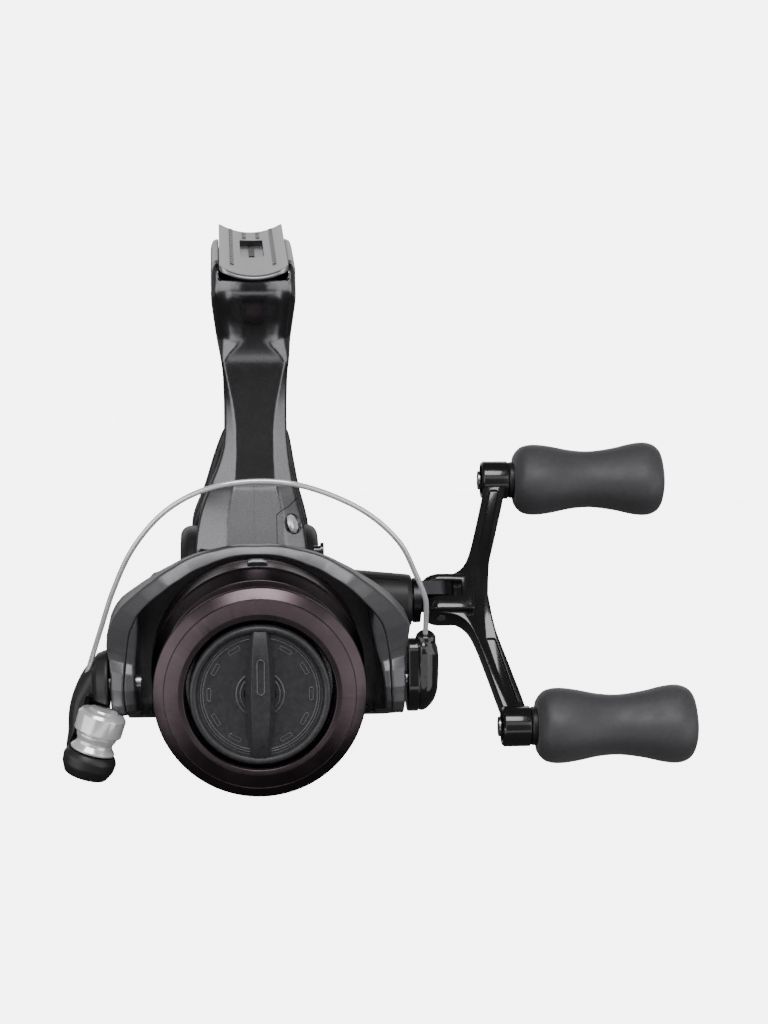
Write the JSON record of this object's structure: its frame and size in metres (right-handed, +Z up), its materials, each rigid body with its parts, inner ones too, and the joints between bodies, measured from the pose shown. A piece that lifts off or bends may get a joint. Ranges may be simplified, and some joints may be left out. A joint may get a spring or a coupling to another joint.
{
  "type": "spinning reel",
  "caption": "Fixed-spool fishing reel with front drag knob, folding bail wire, line roller, geared rotor and folding double crank handle on a rod foot.",
  "frame": {"origin": "middle of the foot's saddle, on the trough line where the rod's blank rests", "axes": "+Y runs parallel to the main shaft towards the rear of the reel, +X points to the handle side, +Z up to the rod; the foot is tilted 8 degrees about X, front end down"},
  "size_m": [0.1497, 0.1148, 0.1293],
  "materials": {
    "housing": "satin charcoal metallic paint with a fine grain",
    "foot_and_cover": "satin charcoal metallic paint",
    "black_plastic": "black moulded plastic, fine texture",
    "gloss_black": "gloss black enamel",
    "aubergine": "dark brown-aubergine anodised, machined",
    "chrome": "bright chrome",
    "steel": "plain machined steel",
    "brass": "machined brass",
    "rubber": "soft-touch matte rubber",
    "knob_face": "charcoal matte plastic dial",
    "white_plastic": "natural acetal plastic",
    "carbon": "carbon fibre drag washer"
  },
  "bodies": {
    "body": {"body_housing": "housing", "side_cover": "foot_and_cover", "rear_guard": "black_plastic", "cover_screws": "gloss_black", "handle_boss": "black_plastic", "axle_cap": "black_plastic", "left_bearing": "steel", "right_bearing": "steel", "front_bearing": "steel", "bearing_retainer": "steel", "one_way_clutch": "steel", "guide_rod": "steel", "guide_screw": "steel"},
    "reverse_switch": {"reverse_lever": "black_plastic"},
    "drive": {"drive_gear": "brass", "drive_shaft": "steel", "osc_pinion": "brass"},
    "oscillator": {"oscillation_gear": "white_plastic"},
    "handle": {"handle_hub": "gloss_black", "handle_arm": "gloss_black", "fold_pin": "steel", "knob_posts": "steel"},
    "upper_knob": {"knob_upper": "rubber", "knob_cap_upper": "rubber"},
    "lower_knob": {"knob_lower": "rubber", "knob_cap_lower": "rubber"},
    "rotor": {"rotor": "housing", "pinion_gear": "brass", "rotor_nut": "steel", "arm_cover_left": "black_plastic", "arm_cover_right": "black_plastic", "pivot_screws": "steel"},
    "bail": {"bail_arm": "black_plastic", "bail_wire": "chrome", "wire_cap": "chrome", "roller_pin": "steel", "arm_end_cover": "black_plastic", "bail_lever": "gloss_black", "lever_screw": "steel"},
    "roller": {"line_roller": "chrome"},
    "shaft": {"main_shaft": "steel", "slider": "white_plastic", "click_gear": "steel"},
    "spool": {"spool_body": "aubergine", "spool_lip": "aubergine", "line_clip": "gloss_black", "drag_washers": "carbon", "washer_ring": "steel"},
    "drag": {"drag_knob": "knob_face", "drag_bar": "knob_face", "drag_nut": "brass", "pressure_plate": "steel"}
  },
  "joints": [
    {"name": "handle_spin", "type": "hinge", "parent": "body", "child": "drive", "pos_m": [0, -0.008, -0.0864], "axis": [1, 0, 0], "continuous": true},
    {"name": "oscillation_spin", "type": "hinge", "parent": "body", "child": "oscillator", "pos_m": [-0.011, 0, -0.10352], "axis": [1, 0, 0], "continuous": true},
    {"name": "rotor_spin", "type": "hinge", "parent": "body", "child": "rotor", "pos_m": [0, -0.032, -0.095], "axis": [0, 1, 0], "continuous": true},
    {"name": "handle_fold", "type": "hinge", "parent": "drive", "child": "handle", "pos_m": [0.0463, -0.008, -0.0864], "axis": [0, 0.6756, 0.7373], "range_deg": [0, 90]},
    {"name": "upper_knob_spin", "type": "hinge", "parent": "handle", "child": "upper_knob", "pos_m": [0.085, 0.01659, -0.05956], "axis": [1, 0, 0], "continuous": true},
    {"name": "lower_knob_spin", "type": "hinge", "parent": "handle", "child": "lower_knob", "pos_m": [0.085, -0.03259, -0.11324], "axis": [1, 0, 0], "continuous": true},
    {"name": "bail_open", "type": "hinge", "parent": "rotor", "child": "bail", "pos_m": [0, -0.06, -0.095], "axis": [1, 0, 0], "range_deg": [0, 95]},
    {"name": "line_roller_spin", "type": "hinge", "parent": "bail", "child": "roller", "pos_m": [-0.0372, -0.067, -0.107], "axis": [0.2924, 0, 0.9563], "continuous": true},
    {"name": "spool_stroke", "type": "slide", "parent": "body", "child": "shaft", "axis": [0, 1, 0], "range_m": [-0.0105, 0.0025]},
    {"name": "spool_slip", "type": "hinge", "parent": "shaft", "child": "spool", "pos_m": [0, -0.06, -0.095], "axis": [0, 1, 0], "continuous": true},
    {"name": "drag_turn", "type": "hinge", "parent": "shaft", "child": "drag", "pos_m": [0, -0.072, -0.095], "axis": [0, 1, 0], "range_deg": [-540, 540]},
    {"name": "reverse_switch_turn", "type": "hinge", "parent": "body", "child": "reverse_switch", "pos_m": [-0.0015, 0.021, -0.112], "axis": [0, 1, 0], "range_deg": [0, 35]}
  ],
  "couplings": [
    {"joint": "rotor_spin", "follows": "handle_spin", "ratio": 4.5},
    {"joint": "oscillation_spin", "follows": "handle_spin", "ratio": -0.5}
  ]
}
